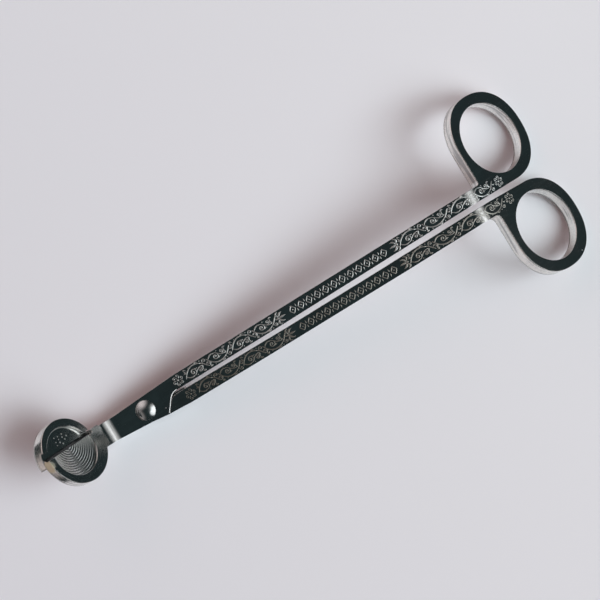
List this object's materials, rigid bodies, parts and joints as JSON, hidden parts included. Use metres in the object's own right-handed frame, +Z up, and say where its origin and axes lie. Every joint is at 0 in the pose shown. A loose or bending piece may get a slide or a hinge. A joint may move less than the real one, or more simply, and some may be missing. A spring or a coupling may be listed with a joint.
{
  "type": "wick trimmer",
  "caption": "Scissor-action wick trimmer with two crossing steel arms, an angled round cutting tray and drooping finger loops.",
  "frame": {"origin": "centre of the footprint, on the surface that the trimmer rests on", "axes": "+X from the cutting tray towards the finger loops, +Y towards the upper arm's finger loop, +Z up"},
  "size_m": [0.1772, 0.0598, 0.0263],
  "materials": {
    "upper_steel": "mirror-polished stainless steel",
    "lower_steel": "mirror-polished stainless steel",
    "rivet_steel": "bright polished steel",
    "etched_ornament": "shallow etched scrollwork, matte silver"
  },
  "bodies": {
    "lower_half": {"lower_arm": "lower_steel", "pivot_rivet": "rivet_steel", "rivet_washer": "rivet_steel"},
    "upper_half": {"upper_arm": "upper_steel"}
  },
  "joints": [
    {"name": "scissor_pivot", "type": "hinge", "parent": "lower_half", "child": "upper_half", "pos_m": [-0.05463, -0.00093, 0.00436], "axis": [-0.1244, 0, 0.9922], "range_deg": [0, 36]}
  ]
}
